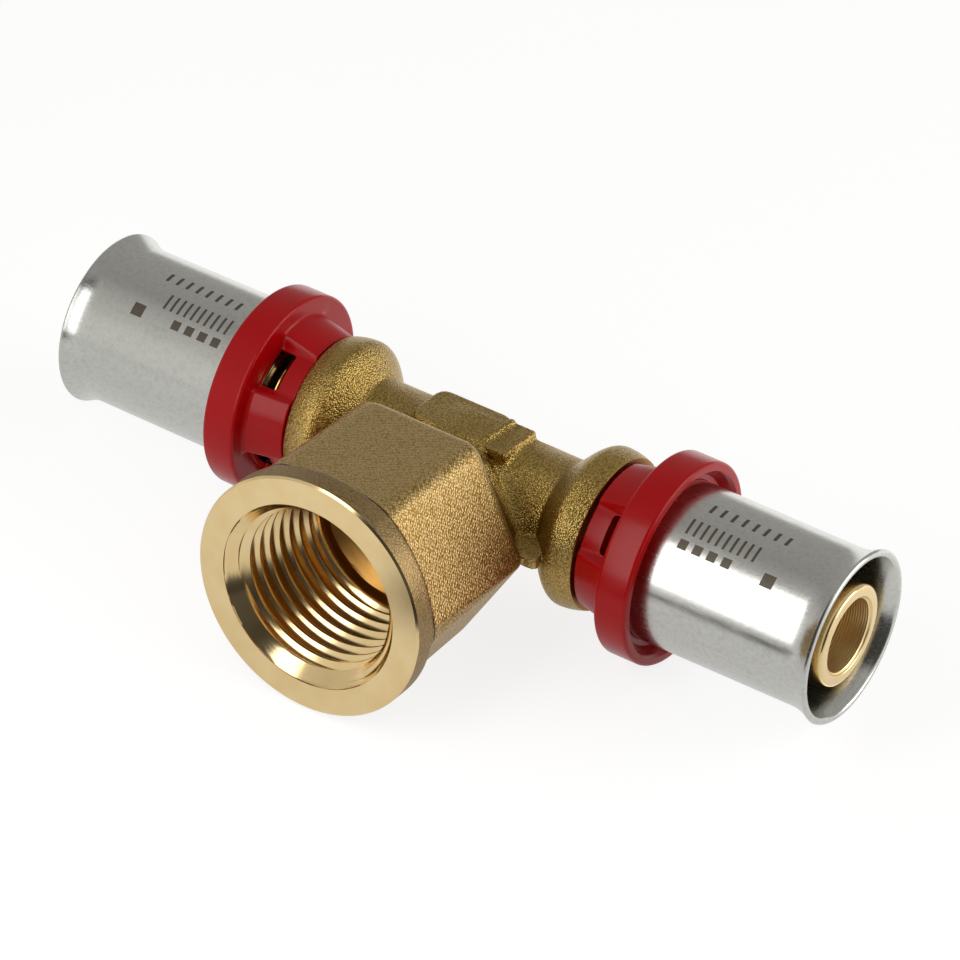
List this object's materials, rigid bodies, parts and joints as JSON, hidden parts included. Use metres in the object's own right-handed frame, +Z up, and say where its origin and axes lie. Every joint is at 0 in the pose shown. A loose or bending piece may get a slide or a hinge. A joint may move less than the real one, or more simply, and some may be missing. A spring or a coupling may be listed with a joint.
{
  "type": "press tee",
  "caption": "Pipe tee with barbed press ends in line, steel press sleeves held by turning plastic rings, and a female threaded branch at right angles.",
  "frame": {"origin": "the point where the run's axis and the branch's axis meet", "axes": "+X along the run, -Y out of the threaded branch, +Z up, out of the top of the forging"},
  "size_m": [0.0986, 0.0429, 0.0284],
  "materials": {
    "forged_brass": "shot-blasted forging, with turned face, thread and nipples",
    "stainless_steel": "satin, drawn",
    "red_plastic": "moulded, glossy",
    "seal_rubber": "moulded rubber"
  },
  "bodies": {
    "tee": {"tee_body": "forged_brass", "left_inner_o_ring": "seal_rubber", "left_outer_o_ring": "seal_rubber", "right_inner_o_ring": "seal_rubber", "right_outer_o_ring": "seal_rubber"},
    "left_sleeve_unit": {"left_press_sleeve": "stainless_steel", "left_locating_ring": "red_plastic"},
    "right_sleeve_unit": {"right_press_sleeve": "stainless_steel", "right_locating_ring": "red_plastic"}
  },
  "joints": [
    {"name": "left_sleeve_turn", "type": "hinge", "parent": "tee", "child": "left_sleeve_unit", "pos_m": [-0.02, 0, 0], "axis": [1, 0, 0], "continuous": true},
    {"name": "right_sleeve_turn", "type": "hinge", "parent": "tee", "child": "right_sleeve_unit", "pos_m": [0.02, 0, 0], "axis": [1, 0, 0], "continuous": true}
  ]
}
